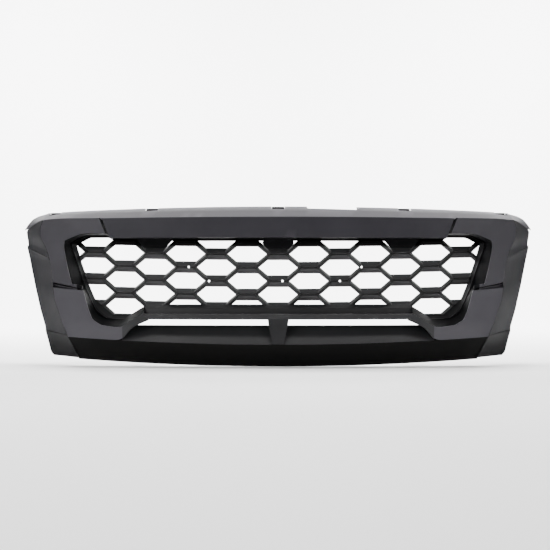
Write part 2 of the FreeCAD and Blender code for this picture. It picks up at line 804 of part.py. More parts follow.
def side_brackets():
    """Steel plates behind the wings, bolted to two bosses and open to the body by two holes."""
    for name, sign in (("right", 1), ("left", -1)):
        body = document.addObject("PartDesign::Body", f"side_bracket_{name}")
        plan = attached_sketch(body, "XZ_Plane", f"bracket_outline_{name}")
        hole_x = f"{sign} * bracket_hole_x"
        boss_x = f"{sign} * bracket_boss_x"
        near = f"{hole_x} - {sign * 12}"
        far = f"{boss_x} + {sign * 10}"
        draw_polygon(plan, [(near, "bracket_low_z - 14"), (far, "bracket_low_z - 14"),
                            (far, "bracket_high_z + 14"), (near, "bracket_high_z + 14")])
        for x in (hole_x, boss_x):
            for level in ("bracket_low_z", "bracket_high_z"):
                draw_circle(plan, (x, level), "bracket_hole_radius")
        document.recompute()
        plate = body.newObject("PartDesign::Pad", f"bracket_plate_{name}")
        plate.Profile = plan
        plate.Reversed = True
        bind(plate, "Length", "wall")
        document.recompute()
        straight = [(f"Edge{number}", edge) for number, edge in enumerate(body.Shape.Edges, start=1)
                    if edge.Curve.TypeId == "Part::GeomLine"]
        corners = [name for name, edge in straight if abs(edge.tangentAt(edge.FirstParameter).y) > 0.9]
        rounding = body.newObject("PartDesign::Fillet", f"bracket_corners_{name}")
        rounding.Base = (plate, corners)
        bind(rounding, "Radius", "bracket_corner_radius")
        body.Label = f"side_bracket_{name}"
        bind(body, "Placement.Base.y", "bracket_y - clip_setback + 0.2")
        NODES.append(body)


def bracket_screws():
    """Hexagon-flange bolts that hold each bracket to its bosses."""
    bolts = []
    for side, sign in (("right", 1), ("left", -1)):
        for level in ("bracket_low_z", "bracket_high_z"):
            name = f"{side}_{level}"
            middle = f"{sign} * bracket_boss_x"
            flange = cylinder(f"bolt_flange_{name}", (middle, "bracket_y + wall + 0.4", level),
                              "7", "1.5", along="y")
            shank = cylinder(f"bolt_shank_{name}", (middle, "bracket_y - 8", level),
                             "bolt_radius", "wall + 9", along="y")
            head = document.addObject("Part::Prism", f"bolt_head_{name}")
            head.Polygon = 6
            head.Placement.Rotation = FreeCAD.Rotation(Vector(1, 0, 0), -90)
            for axis, formula in zip("xyz", (middle, "bracket_y + wall + 1.9", level)):
                bind(head, f"Placement.Base.{axis}", formula)
            head.Circumradius = 5.8
            head.Height = 4.5
            bolts.append(joined(f"bolt_{name}", [flange, shank, head]))
    group = document.addObject("Part::Compound", "bracket_screws")
    group.Links = bolts
    keep(group, "bracket_screws")


def write_parts():
    """Checks every feature and every sub-part, then writes one STEP file for each."""
    document.recompute()
    failed = [item.Name for item in document.Objects if {"Invalid", "Error"} & set(item.State)]
    if failed:
        raise RuntimeError(f"features failed: {failed}")
    for node in NODES:
        if node.Shape.isNull() or not node.Shape.isValid():
            raise RuntimeError(f"{node.Label} has no valid shape")
    os.makedirs("parts", exist_ok=True)
    for node in NODES:
        node.Shape.exportStep(f"parts/{node.Label}.step")
        extent = node.Shape.BoundBox
        print(f"{node.Label}: {len(node.Shape.Solids)} solids, {node.Shape.Volume / 1000:.1f} cm3,"
              f" y {extent.YMin:.1f} to {extent.YMax:.1f}, z {extent.ZMin:.1f} to {extent.ZMax:.1f}")


top_flange()
clip_pads()
upper_bar()
upper_carrier()
upper_seal()
honeycomb_insert()
mesh_tabs()
insert_screws()
lower_bar()
lower_panel()
centre_post()
lower_skirt()
lower_carrier()
corner_bezels()
groove_beads()
cheek_bezels()
corner_caps()
wing_uppers()
wing_sides()
wing_lowers()
opening_reveals()
side_brackets()
bracket_screws()
write_parts()
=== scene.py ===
"""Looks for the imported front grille: moulded panels, honeycomb insert, materials, light and camera.

Shapes are worked out in millimetres, with Y counted from the front of the upper bar, and turned
into metres in the part's frame when a mesh is made.
"""
import json
import math

import bmesh
import bpy
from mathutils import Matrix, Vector


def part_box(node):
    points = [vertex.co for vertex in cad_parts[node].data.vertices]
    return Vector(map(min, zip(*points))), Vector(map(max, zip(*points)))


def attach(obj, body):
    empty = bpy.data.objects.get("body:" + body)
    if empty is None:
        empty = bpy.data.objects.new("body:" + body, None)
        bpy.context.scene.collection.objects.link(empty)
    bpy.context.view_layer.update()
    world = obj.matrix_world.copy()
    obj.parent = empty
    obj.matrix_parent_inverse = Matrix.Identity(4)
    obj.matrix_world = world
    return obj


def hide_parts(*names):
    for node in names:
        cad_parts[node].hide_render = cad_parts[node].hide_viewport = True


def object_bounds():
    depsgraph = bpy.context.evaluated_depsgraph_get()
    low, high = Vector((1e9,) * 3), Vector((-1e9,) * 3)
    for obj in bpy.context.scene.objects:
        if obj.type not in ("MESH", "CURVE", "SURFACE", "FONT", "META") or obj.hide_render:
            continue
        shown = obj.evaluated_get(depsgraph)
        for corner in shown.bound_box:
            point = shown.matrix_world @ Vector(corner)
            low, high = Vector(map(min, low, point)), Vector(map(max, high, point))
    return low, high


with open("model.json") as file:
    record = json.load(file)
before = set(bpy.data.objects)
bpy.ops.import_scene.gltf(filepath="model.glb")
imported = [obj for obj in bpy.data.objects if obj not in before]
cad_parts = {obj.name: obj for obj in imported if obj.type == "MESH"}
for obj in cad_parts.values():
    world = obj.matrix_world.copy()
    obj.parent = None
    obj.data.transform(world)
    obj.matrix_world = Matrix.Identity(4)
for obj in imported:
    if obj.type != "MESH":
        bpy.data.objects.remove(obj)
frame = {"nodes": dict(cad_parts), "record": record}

CAD_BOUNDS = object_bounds()

# ---------------------------------------------------------------- sizes read from the frame

MM = 0.001
BAR_LOW, BAR_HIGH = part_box("upper_bar")
FRONT = BAR_LOW.y / MM
BROW_Z = BAR_HIGH.z / MM
BAR_FOOT_Z = BAR_LOW.z / MM
BAR_HALF_TOP = 394.5
BAR_HALF_FOOT = 377.0
BOW_RADIUS = 2800.0
WRAP_START = 440.0
WRAP_RATE = 0.0015
LEAN_RATE = 0.028
PROUD = 5.0
LIMB_TOP_Z = -90.0
LIMB_LEAN = 0.085
SKIN = 4.0
RETURN_DEPTH = 10.0
RETURN_WALL = 2.5
STRIP_Y = 4.0
FOOT_RISE = 0.00007
ROW_RISE = 0.000032
BROW_CROWN = -0.000012
CREST_CROWN = -0.00004
SHARP_DEGREES = 28.0
INSERT_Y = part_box("honeycomb_insert")[0].y / MM - FRONT
INSERT_DEPTH = 12.0
LEDGE_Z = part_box("lower_bar")[1].z / MM
FOOT_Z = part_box("lower_skirt")[0].z / MM


# ---------------------------------------------------------------- shape helpers

def setback(x):
    """How far the plan bow and the corner wrap set a point back."""
    return x * x / (2 * BOW_RADIUS) + WRAP_RATE * max(0.0, abs(x) - WRAP_START) ** 2


def setback_slope(x):
    """How steeply the front falls back at x."""
    return abs(x) / BOW_RADIUS + 2 * WRAP_RATE * max(0.0, abs(x) - WRAP_START)


def face(x, z, proud=0.0):
    """A point on the leaning, bowed front, raised towards the viewer by proud."""
    return Vector((x, setback(x) + LEAN_RATE * (z - BAR_FOOT_Z) - proud, z))


def on_corner(x, z, proud=PROUD):
    """A point on a corner panel's front, which leans further out down its upright limb."""
    return face(x, z, proud + LIMB_LEAN * max(0.0, LIMB_TOP_Z - z))


def sunk(x, z):
    """A point just proud of the strip on the lower bar."""
    return Vector((x, STRIP_Y - 0.3 + setback(x), z))


def eased(rail, sharp=(), share=0.28, steps=4):
    """Rounds the inner corners of a rail but for the sharp ones; rails of one length stay matched."""
    result = [rail[0]]
    for index in range(1, len(rail) - 1):
        corner = rail[index]
        if index in sharp:
            result.append(corner)
            continue
        start = corner.lerp(rail[index - 1], share)
        end = corner.lerp(rail[index + 1], share)
        for step in range(steps + 1):
            part = step / steps
            result.append(start.lerp(corner, part).lerp(corner.lerp(end, part), part))
    return result + [rail[-1]]


def divided(rails, longest=20.0):
    """Splits matched rails into short steps, by the length of the first one's runs."""
    result = [[rail[0]] for rail in rails]
    for index in range(len(rails[0]) - 1):
        run = (rails[0][index + 1] - rails[0][index]).length
        count = max(1, math.ceil(run / longest))
        for step in range(1, count + 1):
            for line, rail in zip(result, rails):
                line.append(rail[index].lerp(rail[index + 1], step / count))
    return result


def flipped(sections):
    """The mirror image for the other side of the grille."""
    return [[Vector((-point.x, point.y, point.z)) for point in section] for section in sections]


def mesh_from_sections(sections, closed=False):
    """A bmesh skin through matching loops, capped at both ends unless the sweep closes on itself."""
    mesh = bmesh.new()
    loops = [[mesh.verts.new((p.x * MM, (p.y + FRONT) * MM, p.z * MM)) for p in section]
             for section in sections]
    pairs = list(zip(loops, loops[1:]))
    if closed:
        pairs.append((loops[-1], loops[0]))
    for near, far in pairs:
        for index in range(len(near)):
            after = (index + 1) % len(near)
            mesh.faces.new((near[index], near[after], far[after], far[index]))
    if not closed:
        mesh.faces.new(loops[0][::-1])
        mesh.faces.new(loops[-1])
    bmesh.ops.recalc_face_normals(mesh, faces=mesh.faces)
    return mesh


def object_from(mesh, name, material=None):
    """Puts a bmesh into the scene as a new object."""
    data = bpy.data.meshes.new(name)
    mesh.to_mesh(data)
    mesh.free()
    piece = bpy.data.objects.new(name, data)
    bpy.context.scene.collection.objects.link(piece)
    if material:
        data.materials.append(material)
    return piece


def finish_shape(piece, bevel, segments=3):
    """Rounds the sharp edges and shades the rest smooth."""
    rounding = piece.modifiers.new("rounded_edges", "BEVEL")
    rounding.width = bevel * MM
    rounding.segments = segments
    rounding.limit_method = "ANGLE"
    rounding.angle_limit = math.radians(SHARP_DEGREES)
    rounding.harden_normals = True
    rounding.miter_outer = "MITER_ARC"
    for polygon in piece.data.polygons:
        polygon.use_smooth = True
    piece.data.set_sharp_from_angle(angle=math.radians(SHARP_DEGREES))


def panel(name, sections, material, nodes, bevel, closed=False, extras=()):
    """A finished moulded piece that stands for CAD nodes and rides on the body."""
    mesh = mesh_from_sections(sections, closed)
    for extra in extras:
        part = mesh_from_sections(extra)
        data = bpy.data.meshes.new("extra")
        part.to_mesh(data)
        part.free()
        mesh.from_mesh(data)
        bpy.data.meshes.remove(data)
    piece = object_from(mesh, name, material)
    finish_shape(piece, bevel)
    enrol(piece, nodes)
    return piece


def enrol(piece, nodes):
    """Puts a piece on the body, in the place of its CAD nodes."""
    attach(piece, "root")
    for node in nodes:
        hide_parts(node)


def both_sides(name, sections, material, bevel, extras=()):
    """The right-hand piece and its mirror image, each replacing its own CAD node."""
    right = panel(f"{name}_right_skin", sections, material, [f"{name}_right"], bevel, extras=extras)
    mirrored = [flipped(extra) for extra in extras]
    left = panel(f"{name}_left_skin", flipped(sections), material, [f"{name}_left"], bevel,
                 extras=mirrored)
    return [right, left]


def repaint(piece, material, chosen):
    """Gives the chosen faces a second finish."""
    piece.data.materials.append(material)
    added = len(piece.data.materials) - 1
    for polygon in piece.data.polygons:
        if chosen(polygon):
            polygon.material_index = added


def tongue_behind(rails, reach=5.0):
    """A thin lap behind the first edge of a strip, which closes its seam with the piece above."""
    sections = []
    for rail in rails:
        up = (rail[0] - rail[1]).normalized()
        front = rail[0] + Vector((0, SKIN + 0.2, 0))
        rear = front + Vector((0, 2, 0))
        sections.append([front - up * 4, front + up * reach, rear + up * reach, rear - up * 4])
    return sections


def apply_modifiers(piece):
    """Leaves the mesh as its modifiers show it."""
    graph = bpy.context.evaluated_depsgraph_get()
    data = bpy.data.meshes.new_from_object(piece.evaluated_get(graph))
    piece.modifiers.clear()
    piece.data = data


def cut(piece, cutters, operation="DIFFERENCE"):
    """Applies one exact boolean for each cutter and removes the cutters."""
    for cutter in cutters:
        boolean = piece.modifiers.new("cut", "BOOLEAN")
        boolean.operation = operation
        boolean.solver = "EXACT"
        boolean.object = cutter
        bpy.context.view_layer.update()
        apply_modifiers(piece)
        bpy.data.objects.remove(cutter)


def block(name, corner, lengths, radius=0.0):
    """A block used as a cutter or a small pad, from its lowest corner, in part millimetres."""
    x, y, z = corner
    dx, dy, dz = lengths
    outline = rounded_rectangle(x, y, dx, dy, radius)
    sections = [[Vector((px, py, level)) for px, py in outline] for level in (z, z + dz)]
    return object_from(mesh_from_sections(sections), name)


def rounded_rectangle(x, y, width, depth, radius, steps=5):
    """Corner points of a rectangle, with round corners if it has a radius."""
    corners = [(x + width, y + depth, 0), (x, y + depth, 90), (x, y, 180), (x + width, y, 270)]
    if not radius:
        return [(px, py) for px, py, _ in corners]
    points = []
    for px, py, start in corners:
        cx = px - radius if px > x else px + radius
        cy = py - radius if py > y else py + radius
        for step in range(steps + 1):
            angle = math.radians(start + 90 * step / steps)
            points.append((cx + radius * math.cos(angle), cy + radius * math.sin(angle)))
    return points


def rod(name, centre, radius, depth, sides=20, along="z"):
    """A plain round cutter that starts at its centre and runs along Z or Y."""
    x, y, z = centre
    sections = []
    for level in (0.0, depth):
        ring = []
        for side in range(sides):
            angle = 2 * math.pi * side / sides
            a = radius * math.cos(angle)
            b = radius * math.sin(angle)
            turned = (x + a, y + b, z + level) if along == "z" else (x + a, y + level, z + b)
            ring.append(Vector(turned))
        sections.append(ring)
    return object_from(mesh_from_sections(sections), name)


# ---------------------------------------------------------------- materials

def plastic(name, colour, roughness, grain=1400.0, bump=0.12, mottling=0.12, wear=0.35, specular=0.5,
            painted_shade_above=None):
    """Moulded plastic: fine grain, cloudy colour and gloss, and edges rubbed a little lighter.

    Given a shade height, colour and gloss turn dark above it: painted shade, as under an overhang.
    """
    material = bpy.data.materials.new(name)
    material.use_nodes = True
    nodes = material.node_tree.nodes
    links = material.node_tree.links
    shader = nodes["Principled BSDF"]
    shader.inputs["Specular IOR Level"].default_value = specular
    place = nodes.new("ShaderNodeTexCoord")

    clouds = nodes.new("ShaderNodeTexNoise")
    clouds.inputs["Scale"].default_value = 9.0
    clouds.inputs["Detail"].default_value = 5.0
    links.new(place.outputs["Object"], clouds.inputs["Vector"])
    fine = nodes.new("ShaderNodeTexNoise")
    fine.inputs["Scale"].default_value = grain
    fine.inputs["Detail"].default_value = 3.0
    fine.inputs["Roughness"].default_value = 0.6
    links.new(place.outputs["Object"], fine.inputs["Vector"])

    tint = nodes.new("ShaderNodeValToRGB")
    tint.color_ramp.elements[0].position = 0.3
    tint.color_ramp.elements[1].position = 0.7
    tint.color_ramp.elements[0].color = (*[value * (1 - mottling) for value in colour], 1)
    tint.color_ramp.elements[1].color = (*[value * (1 + mottling) for value in colour], 1)
    links.new(clouds.outputs["Fac"], tint.inputs["Fac"])

    geometry = nodes.new("ShaderNodeNewGeometry")
    edge = nodes.new("ShaderNodeMapRange")
    edge.inputs["From Min"].default_value = 0.52
    edge.inputs["From Max"].default_value = 0.62
    edge.inputs["To Max"].default_value = wear
    links.new(geometry.outputs["Pointiness"], edge.inputs["Value"])
    rubbed = nodes.new("ShaderNodeMix")
    rubbed.data_type = "RGBA"
    rubbed.inputs["B"].default_value = (*[min(1.0, value * 2.2 + 0.01) for value in colour], 1)
    links.new(edge.outputs["Result"], rubbed.inputs["Factor"])
    links.new(tint.outputs["Color"], rubbed.inputs["A"])
    links.new(rubbed.outputs["Result"], shader.inputs["Base Color"])
    # painted shade: colour and gloss fade to black above the given height
    if painted_shade_above:
        fade = 6.0
        height = nodes.new("ShaderNodeSeparateXYZ")
        links.new(place.outputs["Object"], height.inputs["Vector"])
        shade = nodes.new("ShaderNodeMapRange")
        shade.inputs["From Min"].default_value = (painted_shade_above - fade) * MM
        shade.inputs["From Max"].default_value = painted_shade_above * MM
        links.new(height.outputs["Z"], shade.inputs["Value"])
        darkened = nodes.new("ShaderNodeMix")
        darkened.data_type = "RGBA"
        darkened.inputs["B"].default_value = (0.002, 0.002, 0.002, 1)
        links.new(shade.outputs["Result"], darkened.inputs["Factor"])
        links.new(rubbed.outputs["Result"], darkened.inputs["A"])
        links.new(darkened.outputs["Result"], shader.inputs["Base Color"])
        sheen = nodes.new("ShaderNodeMapRange")
        sheen.inputs["To Min"].default_value = specular
        sheen.inputs["To Max"].default_value = 0.02
        links.new(shade.outputs["Result"], sheen.inputs["Value"])
        links.new(sheen.outputs["Result"], shader.inputs["Specular IOR Level"])

    gloss = nodes.new("ShaderNodeMapRange")
    gloss.inputs["From Min"].default_value = 0.3
    gloss.inputs["From Max"].default_value = 0.7
    gloss.inputs["To Min"].default_value = roughness - 0.05
    gloss.inputs["To Max"].default_value = roughness + 0.06
    links.new(clouds.outputs["Fac"], gloss.inputs["Value"])
    links.new(gloss.outputs["Result"], shader.inputs["Roughness"])

    relief = nodes.new("ShaderNodeBump")
    relief.inputs["Strength"].default_value = bump
    relief.inputs["Distance"].default_value = 0.0003
    links.new(fine.outputs["Fac"], relief.inputs["Height"])
    links.new(relief.outputs["Normal"], shader.inputs["Normal"])
    return material


def metal(name, colour, roughness, metallic=1.0):
    """Plated or coated steel with fine brushing and blotchy gloss."""
    material = plastic(name, colour, roughness, grain=500.0, bump=0.2, mottling=0.1, wear=0.2)
    material.node_tree.nodes["Principled BSDF"].inputs["Metallic"].default_value = metallic
    return material


PAINTED = plastic("satin_black_panel", (0.021, 0.0195, 0.024), 0.46, specular=0.27)
# painted light: CHEEK is a lighter copy of the panel paint, for the cheeks' lit faces
CHEEK = plastic("satin_black_cheek_painted_light", (0.029, 0.027, 0.033), 0.46, specular=0.3)
# painted shade: BAR is a darker copy of the panel paint, for the bar in shade
BAR = plastic("satin_black_bar_painted_shade", (0.014, 0.013, 0.017), 0.46, specular=0.25)
# painted shade: WING is a darker copy of the panel paint, for the wings' shaded sides
WING = plastic("satin_black_wing_painted_shade", (0.006, 0.0056, 0.0074), 0.6, specular=0.06)
STRIP = plastic("satin_black_strip", (0.014, 0.014, 0.015), 0.48, specular=0.25)
LOWER = plastic("satin_black_lower", (0.010, 0.010, 0.011), 0.5, specular=0.2)
TIP = plastic("satin_black_tip", (0.0015, 0.0014, 0.0019), 0.6, specular=0.06)
# SKIRT: matte black plastic, made near-black so the pale floor does not light it: partly painted shade on the
# underside
SKIRT = plastic("matte_black_skirt_and_painted_shade", (0.0022, 0.0022, 0.0022), 0.6, specular=0.06)
# FLANGE: grained grey plastic, made lighter as painted light from above on its upward faces; the corner caps
# share it
FLANGE = plastic("grained_grey_flange_and_painted_light", (0.036, 0.034, 0.039), 0.5, grain=900.0, bump=0.25, specular=0.15)
# painted shade: the mesh turns black above its top row, in the upper bar's shadow
MESH = plastic("satin_black_mesh", (0.026, 0.026, 0.027), 0.5, specular=0.15, painted_shade_above=-82.0)
# painted shade: the rim is a darker copy of the mesh plastic, for the reveal's shade, and turns black at its
# top
RIM = plastic("satin_black_rim_painted_shade", (0.014, 0.014, 0.015), 0.5, specular=0.2, painted_shade_above=-76.0)
# DARK: the black of the carriers and reveals, and also painted shade on shaded faces of the bar, corner
# bezels, grooves and mesh tabs
DARK = plastic("matte_black_backing_and_painted_shade", (0.0035, 0.0035, 0.004), 0.62, grain=700.0, bump=0.2, specular=0.02)
RUBBER = plastic("black_rubber", (0.006, 0.006, 0.006), 0.75, grain=500.0, bump=0.35, specular=0.3)
FOAM = plastic("open_cell_foam", (0.028, 0.028, 0.03), 0.9, grain=350.0, bump=0.9, specular=0.2)
ZINC = metal("zinc_plated_steel", (0.62, 0.61, 0.57), 0.34)
COATED = metal("black_coated_steel", (0.02, 0.02, 0.021), 0.45, metallic=0.0)


# ---------------------------------------------------------------- upper bar and top flange

def bowed_sections(profile, half_span, count=36):
    """Sections of a (y, z, crown) profile from the left end to the right end of the bow."""
    sections = []
    for step in range(-count, count + 1):
        share = step / count
        section = []
        for y, z, crown in profile:
            x = share * (half_span(z) if callable(half_span) else half_span)
            section.append(Vector((x, y + setback(x), z + crown * x * x)))
        sections.append(section)
    return sections


def upper_bar():
    """Bowed bar with a ledge along its top and a shelf behind its foot; faces that look down are painted dark
    as painted shade.
    """
    def half(z):
        return BAR_HALF_FOOT + (BAR_HALF_TOP - BAR_HALF_FOOT) * (z - BAR_FOOT_Z) / (BROW_Z - BAR_FOOT_Z)

    profile = [(1.0, BROW_Z, BROW_CROWN), (2.5, BROW_Z - 3.4, BROW_CROWN), (16, BROW_Z - 3.4, BROW_CROWN),
               (16, BROW_Z - 6.4, BROW_CROWN), (3, BROW_Z - 6.4, BROW_CROWN), (3, BAR_FOOT_Z + 3, 0),
               (44, BAR_FOOT_Z + 3, 0), (44, BAR_FOOT_Z, 0), (0, BAR_FOOT_Z, 0),
               (-0.6, BAR_FOOT_Z + 22, BROW_CROWN / 2)]
    bar = panel("upper_bar_skin", bowed_sections(profile, half), BAR, ["upper_bar"],
                bevel=0.15)
    # painted shade: faces that look down take the black finish
    repaint(bar, DARK, lambda polygon: polygon.normal.z < -0.15)


FLANGE_WALL = 3.0
CLIP_HALF_WIDTH = 15.0
CLIP_HOLE_RADIUS = 4.0
RECESS_REAR = 18.0
SEAT_LAP = 1.0
SEAT_FRONT = 8.0
SEAT_LENGTH = 21.0
NOTCH_HALF_WIDTH = 13.4
NOTCH_DEPTH = 4.2
PAD_HALF_WIDTH = 14.4


def clip_spots():
    """X, set-back and level of each clip seat, read from the mounts."""
    spots = []
    for mount in frame["record"]["mounts"]:
        if not mount["name"].startswith("top_"):
            continue
        x, y, z = [value / MM for value in mount["pos_m"]]
        reach = mount["dims"].get("spacing_x_mm", 0.0) / 2
        spots += [(sign * reach, y - FRONT, z) for sign in ((-1, 1) if reach else (1,))]
    return spots


def top_flange():
    """Sloping flange with a relief in its rear edge, and at each clip a recess, a notch and a seat."""
    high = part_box("top_flange")[1]
    crest_z = high.z / MM
    profile = [(1, BROW_Z + 0.4, BROW_CROWN), (25, BROW_Z + 14.6, (BROW_CROWN + CREST_CROWN) / 2),
               (50, crest_z, CREST_CROWN), (60, crest_z, CREST_CROWN),
               (60, crest_z - FLANGE_WALL, CREST_CROWN), (51, crest_z - FLANGE_WALL, CREST_CROWN),
               (3, BROW_Z - 2.6, BROW_CROWN)]
    sections = bowed_sections(profile, high.x / MM)
    piece = object_from(mesh_from_sections(sections), "top_flange_skin", FLANGE)
    cutters = [block("relief", (65, 40, -20), (113, 60, 40), radius=5.0)]
    for x, y, z in clip_spots():
        reach = 24 + CLIP_HALF_WIDTH * setback_slope(x)
        cutters.append(block("recess", (x - CLIP_HALF_WIDTH, y - reach, z - 0.05),
                             (2 * CLIP_HALF_WIDTH, reach + RECESS_REAR, 20), radius=1.5))
        cutters.append(block("notch", (x - NOTCH_HALF_WIDTH, y - reach, z - NOTCH_DEPTH),
                             (2 * NOTCH_HALF_WIDTH, reach - SEAT_FRONT, 20), radius=1.0))
    cut(piece, cutters)
    for x, y, z in clip_spots():
        seat = block("seat", (x - CLIP_HALF_WIDTH - SEAT_LAP, y - SEAT_FRONT, z - FLANGE_WALL),
                     (2 * (CLIP_HALF_WIDTH + SEAT_LAP), SEAT_LENGTH, FLANGE_WALL), radius=1.0)
        cut(seat, [rod("hole", (x, y, z - 10), CLIP_HOLE_RADIUS, 20)])
        cut(piece, [seat], "UNION")
    finish_shape(piece, 0.7)
    enrol(piece, ["top_flange"])


def clip_pads():
    """Rubber on each clip seat: a pad behind it and a facing over its front edge."""
    crest_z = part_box("top_flange")[1].z / MM
    for number, (x, y, z) in enumerate(clip_spots()):
        top = crest_z + CREST_CROWN * x * x + 0.3
        pad = block(f"clip_pad_{number}", (x - PAD_HALF_WIDTH, y + 5, z),
                    (2 * PAD_HALF_WIDTH, 3, top - z), radius=1.2)
        pad.data.materials.append(RUBBER)
        finish_shape(pad, 0.3)
        enrol(pad, ["clip_pads"] if number == 0 else [])
        front = block(f"clip_pad_front_{number}", (x - NOTCH_HALF_WIDTH, y - 9.6, z - NOTCH_DEPTH),
                      (2 * NOTCH_HALF_WIDTH, 1.6, NOTCH_DEPTH + 0.3))
        front.data.materials.append(RUBBER)
        finish_shape(front, 0.2)
        enrol(front, [])


# ---------------------------------------------------------------- corners, cheeks and wings

def strip(rails, sharp=(), inner_return=True):
    """Closed sections through matched rails of front points, with returns behind their edges."""
    skin = Vector((0, SKIN, 0))
    deep = Vector((0, RETURN_DEPTH, 0))
    sections = []
    for front in zip(*divided([eased(rail, sharp) for rail in rails])):
        first = front[0]
        last = front[-1]
        from_first = (front[1] - first).normalized() * RETURN_WALL
        from_last = (front[-2] - last).normalized() * RETURN_WALL
        section = list(front)
        section += [last + deep, last + from_last + deep, last + from_last + skin]
        section += [point + skin for point in reversed(front[1:-1])]
        if inner_return:
            section += [first + from_first + skin, first + from_first + deep, first + deep]
        else:
            section.append(first + skin)
        sections.append(section)
    return sections


def corner_bezels():
    """Each starts as a steep wall beside the bar, then runs round the opening's upper corner."""
    inner = [(386, -56.8), (439, -57.2), (468, -68), (481, -74), (481.5, -86), (480, -98), (470.5, -138),
             (459.5, -174.5)]
    outer = [(401, -22), (492, -22.3), (533, -24.5), (541, -45), (538, -69), (523, -93), (514, -120.5),
             (505.3, -166.3)]
    rails = [[on_corner(381.5, -57.4, -7)] + [on_corner(x, z) for x, z in inner],
             [on_corner(395, -22, -7)] + [on_corner(x, z) for x, z in outer]]
    sections = strip(rails, sharp=(1,), inner_return=False)
    wall_points = 2 * len(sections[0])

    # painted shade: the wall beside the bar and the faces that look down take the black finish
    def painted_shade_faces(polygon):
        return max(polygon.vertices) < wall_points or polygon.normal.z < -0.5

    for piece in both_sides("corner_bezel", sections, PAINTED, bevel=0.7):
        repaint(piece, DARK, painted_shade_faces)


def groove_beads():
    """A trough between the corner panel and the cheek, with a narrow bead along its middle."""
    mouth_x = 441
    dark_until = 452
    sections = []
    for x in range(mouth_x - 3, 516, 6):
        high = -180.4 + 0.214 * (x - mouth_x)
        low = -185.6 + 0.138 * (x - mouth_x)
        middle = (high + low) / 2
        profile = [(low - 4, 12.5), (low - 0.5, 12.5), (low + 0.5, 15), (middle - 1.2, 15),
                   (middle - 0.8, 7.8), (middle + 0.8, 7.8), (middle + 1.2, 15), (high - 0.5, 15),
                   (high + 0.5, 4.2), (high + 7, 4.2), (high + 7, 17), (low - 4, 17)]
        sections.append([on_corner(x, z) + Vector((0, depth, 0)) for z, depth in profile])
    # painted shade: the trough's inner end, nearest the opening, takes the black finish
    for piece in both_sides("groove_bead", sections, PAINTED, bevel=0.2):
        repaint(piece, DARK, lambda polygon: abs(polygon.center.x) < dark_until * MM)


def cheek_bezels():
    """Each runs down the opening's side, then sinks along the slot's end to meet the lower bar."""
    arm_x = 348
    inner = [face(x, z, PROUD) for x, z in ((435, -184.5), (429.5, -206), (421.5, -232), (413.5, -250),
                                            (395, -261), (366, -265.6), (350, -265.5))]
    inner += [face(326, -250, 0), sunk(299.5, -235.2)]
    outer = [face(x, z, PROUD) for x, z in ((507.5, -178), (503, -206), (493, -232), (485, -255))]
    outer += [face(471, -288.4, 2), face(416, -291.9), face(349, -295.4), face(326, -267)]
    outer.append(sunk(288.7, -250.5))
    sections = strip([inner, outer], sharp=(4,), inner_return=False)
    # painted shade: the arm where the cheek turns down to the lower bar takes the darker strip finish
    for piece in both_sides("cheek_bezel", sections, CHEEK, bevel=0.8):
        repaint(piece, STRIP, lambda polygon: abs(polygon.center.x) < arm_x * MM)


def corner_caps():
    """Caps in the flange's finish, lightened as painted light from above, that carry the top flange down and
    round to the wing tips.
    """
    inner = [Vector(p) for p in ((534.4, 65.5, -24.2), (548, 84, -26.6), (562, 103, -31), (575, 121, -35.8),
                                 (586, 138, -39.8))]
    outer = [Vector(p) for p in ((534.4, 124, -6.4), (560, 131, -12.5), (576, 137, -20), (588, 143, -32),
                                 (597, 150, -43))]
    inner, outer = divided([eased(inner), eased(outer)], longest=8.0)
    sections = []
    for near, far in zip(inner, outer):
        middle = near.lerp(far, 0.5) + Vector((0.4, 0, 0.8))
        sections.append([near, middle, far, far - Vector((0, 0, 3)), middle - Vector((0, 0, 3)),
                         near - Vector((0, -1, 3))])
    both_sides("corner_cap", sections, FLANGE, bevel=0.6)


def across(inner, outer, shares=(0, 0.25, 0.5, 0.75, 1)):
    """Matched rails spread evenly between two others."""
    return [[near.lerp(far, share) for near, far in zip(inner, outer)] for share in shares]


def wing_uppers():
    """Wings above the diagonal seam; their upper edge follows the underside of the corner caps."""
    inner = [on_corner(x, z) for x, z in ((534.8, -25.8), (541.3, -45), (538.3, -69), (523.3, -93),
                                          (518, -111))]
    outer = [Vector(p) for p in ((586, 138.5, -41.4), (593, 149, -48), (590.5, 148, -63),
                                 (588, 147, -76.5), (588.5, 148, -84))]
    rails = across(inner, outer)
    for rail, top in zip(rails[1:-1], ((548, 84.5, -28.2), (562, 103.5, -32.6), (575, 121.5, -37.4))):
        rail[0] = Vector(top)
    both_sides("wing_upper", strip(rails), WING, bevel=0.5)


def boss_sections(level, start):
    """A round boss that reaches back from a wing to its bracket."""
    middle_x = 548
    radius = 6
    bracket_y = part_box("side_bracket_right")[0].y / MM - FRONT
    turns = [math.radians(18 * step) for step in range(20)]
    return [[Vector((middle_x + radius * math.cos(turn), y, level + radius * math.sin(turn)))
             for turn in turns] for y in (start, bracket_y)]


